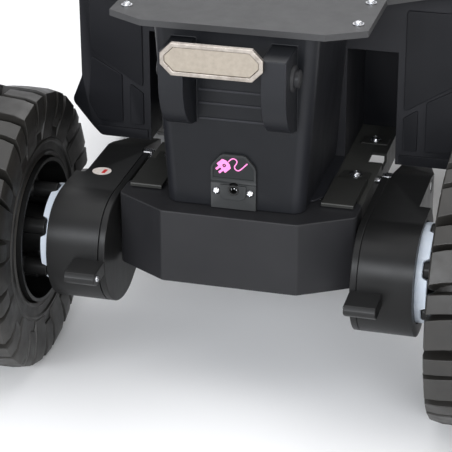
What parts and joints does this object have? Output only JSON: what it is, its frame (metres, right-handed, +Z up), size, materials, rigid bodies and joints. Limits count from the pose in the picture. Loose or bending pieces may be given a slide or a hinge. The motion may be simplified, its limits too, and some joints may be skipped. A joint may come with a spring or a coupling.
{
  "type": "four wheel robot chassis",
  "caption": "Four-wheel drive chassis with trailing gearbox arms, steel rails, body tub, flat deck and a rear charging port.",
  "frame": {"origin": "on the ground under the chassis centre", "axes": "+Z up, +X to the right, +Y towards the front; the charging port faces -Y"},
  "size_m": [0.6134, 0.8746, 0.3765],
  "materials": {
    "rubber": "semi-gloss moulded rubber",
    "black_gloss": "semi-gloss moulded plastic",
    "black_satin": "satin moulded plastic",
    "grey": "satin",
    "nylon": "smooth nylon",
    "black_steel": "black powder coat",
    "zinc": "bright zinc plate",
    "brass": "machined"
  },
  "bodies": {
    "chassis": {"rail_left": "black_steel", "rail_right": "black_steel", "bumper_rear": "black_satin", "bumper_front": "black_satin", "cross_tube_rear": "zinc", "cross_tube_front": "zinc", "column_rear": "black_satin", "column_front": "black_satin", "port_plate": "grey", "charge_socket": "black_gloss", "port_screw_left": "zinc", "port_screw_right": "zinc", "tail_plate": "zinc", "body_tub": "black_satin", "deck": "black_satin", "battery": "grey", "pivot_bolt_rl": "zinc", "pivot_bolt_rr": "zinc", "pivot_bolt_fl": "zinc", "pivot_bolt_fr": "zinc"},
    "arm_rl": {"gearbox_shell_rl": "black_gloss", "gearbox_cover_rl": "black_gloss", "axle_rl": "zinc", "motor_rl": "black_steel", "pivot_bush_rl": "rubber"},
    "wheel_rl": {"tyre_rl": "rubber", "rim_rl": "black_gloss", "drive_gear_rl": "nylon"},
    "idler_rl": {"idler_gear_rl": "nylon"},
    "rotor_rl": {"pinion_rl": "brass"},
    "arm_rr": {"gearbox_shell_rr": "black_gloss", "gearbox_cover_rr": "black_gloss", "axle_rr": "zinc", "motor_rr": "black_steel", "pivot_bush_rr": "rubber"},
    "wheel_rr": {"tyre_rr": "rubber", "rim_rr": "black_gloss", "drive_gear_rr": "nylon"},
    "idler_rr": {"idler_gear_rr": "nylon"},
    "rotor_rr": {"pinion_rr": "brass"},
    "arm_fl": {"gearbox_shell_fl": "black_gloss", "gearbox_cover_fl": "black_gloss", "axle_fl": "zinc", "motor_fl": "black_steel", "pivot_bush_fl": "rubber"},
    "wheel_fl": {"tyre_fl": "rubber", "rim_fl": "black_gloss", "drive_gear_fl": "nylon"},
    "idler_fl": {"idler_gear_fl": "nylon"},
    "rotor_fl": {"pinion_fl": "brass"},
    "arm_fr": {"gearbox_shell_fr": "black_gloss", "gearbox_cover_fr": "black_gloss", "axle_fr": "zinc", "motor_fr": "black_steel", "pivot_bush_fr": "rubber"},
    "wheel_fr": {"tyre_fr": "rubber", "rim_fr": "black_gloss", "drive_gear_fr": "nylon"},
    "idler_fr": {"idler_gear_fr": "nylon"},
    "rotor_fr": {"pinion_fr": "brass"}
  },
  "joints": [
    {"name": "arm_rl", "type": "hinge", "parent": "chassis", "child": "arm_rl", "pos_m": [0, -0.1988, 0.181], "axis": [-1, 0, 0], "range_deg": [-3, 6], "stiffness_Nm_per_rad": 60, "springref_deg": -2.58},
    {"name": "wheel_rl", "type": "hinge", "parent": "arm_rl", "child": "wheel_rl", "pos_m": [0, -0.3, 0.138], "axis": [1, 0, 0], "continuous": true},
    {"name": "idler_rl", "type": "hinge", "parent": "arm_rl", "child": "idler_rl", "pos_m": [0, -0.245, 0.16198], "axis": [1, 0, 0], "continuous": true},
    {"name": "rotor_rl", "type": "hinge", "parent": "arm_rl", "child": "rotor_rl", "pos_m": [0, -0.239, 0.13402], "axis": [1, 0, 0], "continuous": true},
    {"name": "arm_rr", "type": "hinge", "parent": "chassis", "child": "arm_rr", "pos_m": [0, -0.1988, 0.181], "axis": [-1, 0, 0], "range_deg": [-3, 6], "stiffness_Nm_per_rad": 60, "springref_deg": -2.58},
    {"name": "wheel_rr", "type": "hinge", "parent": "arm_rr", "child": "wheel_rr", "pos_m": [0, -0.3, 0.138], "axis": [1, 0, 0], "continuous": true},
    {"name": "idler_rr", "type": "hinge", "parent": "arm_rr", "child": "idler_rr", "pos_m": [0, -0.245, 0.16198], "axis": [1, 0, 0], "continuous": true},
    {"name": "rotor_rr", "type": "hinge", "parent": "arm_rr", "child": "rotor_rr", "pos_m": [0, -0.239, 0.13402], "axis": [1, 0, 0], "continuous": true},
    {"name": "arm_fl", "type": "hinge", "parent": "chassis", "child": "arm_fl", "pos_m": [0, 0.1988, 0.181], "axis": [1, 0, 0], "range_deg": [-3, 6], "stiffness_Nm_per_rad": 60, "springref_deg": -2.58},
    {"name": "wheel_fl", "type": "hinge", "parent": "arm_fl", "child": "wheel_fl", "pos_m": [0, 0.3, 0.138], "axis": [1, 0, 0], "continuous": true},
    {"name": "idler_fl", "type": "hinge", "parent": "arm_fl", "child": "idler_fl", "pos_m": [0, 0.245, 0.16198], "axis": [1, 0, 0], "continuous": true},
    {"name": "rotor_fl", "type": "hinge", "parent": "arm_fl", "child": "rotor_fl", "pos_m": [0, 0.239, 0.13402], "axis": [1, 0, 0], "continuous": true},
    {"name": "arm_fr", "type": "hinge", "parent": "chassis", "child": "arm_fr", "pos_m": [0, 0.1988, 0.181], "axis": [1, 0, 0], "range_deg": [-3, 6], "stiffness_Nm_per_rad": 60, "springref_deg": -2.58},
    {"name": "wheel_fr", "type": "hinge", "parent": "arm_fr", "child": "wheel_fr", "pos_m": [0, 0.3, 0.138], "axis": [1, 0, 0], "continuous": true},
    {"name": "idler_fr", "type": "hinge", "parent": "arm_fr", "child": "idler_fr", "pos_m": [0, 0.245, 0.16198], "axis": [1, 0, 0], "continuous": true},
    {"name": "rotor_fr", "type": "hinge", "parent": "arm_fr", "child": "rotor_fr", "pos_m": [0, 0.239, 0.13402], "axis": [1, 0, 0], "continuous": true}
  ],
  "couplings": [
    {"joint": "idler_rl", "follows": "wheel_rl", "ratio": -3},
    {"joint": "rotor_rl", "follows": "wheel_rl", "ratio": 6.75},
    {"joint": "idler_rr", "follows": "wheel_rr", "ratio": -3},
    {"joint": "rotor_rr", "follows": "wheel_rr", "ratio": 6.75},
    {"joint": "idler_fl", "follows": "wheel_fl", "ratio": -3},
    {"joint": "rotor_fl", "follows": "wheel_fl", "ratio": 6.75},
    {"joint": "idler_fr", "follows": "wheel_fr", "ratio": -3},
    {"joint": "rotor_fr", "follows": "wheel_fr", "ratio": 6.75}
  ]
}
